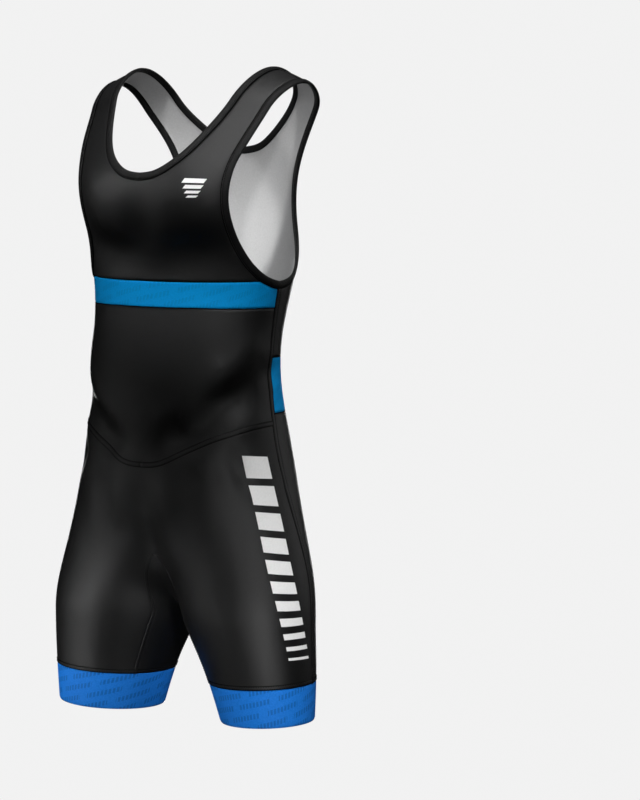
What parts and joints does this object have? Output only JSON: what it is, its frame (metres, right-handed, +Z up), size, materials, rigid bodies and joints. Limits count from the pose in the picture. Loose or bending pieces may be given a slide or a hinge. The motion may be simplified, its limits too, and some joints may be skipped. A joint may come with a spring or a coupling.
{
  "type": "wrestling singlet",
  "caption": "Sleeveless one-piece sports singlet with a scooped neck, wide armholes, a racer back and short legs, in its worn, filled-out shape.",
  "frame": {"origin": "midway between the tops of the two shoulder straps, at the height of their inner edges", "axes": "+Z up along the wearer, the front faces -Y, the wearer's left is +X"},
  "size_m": [0.387, 0.2426, 0.8484],
  "materials": {
    "black_knit": "matt polyester and elastane knit with a soft sheen",
    "blue_band": "matt cyan blue knit",
    "blue_gripper": "smooth royal blue elastic knit",
    "black_binding": "matt folded elastic tape"
  },
  "bodies": {
    "root": {"front_upper": "black_knit", "chest_band": "blue_band", "front_lower": "black_knit", "front_shorts": "black_knit", "back_upper": "black_knit", "back_band": "blue_band", "back_lower": "black_knit", "inner_gusset": "black_knit", "hem_band_left": "blue_gripper", "hem_band_right": "blue_gripper", "neck_binding": "black_binding", "armhole_binding_left": "black_binding", "armhole_binding_right": "black_binding"}
  },
  "joints": []
}
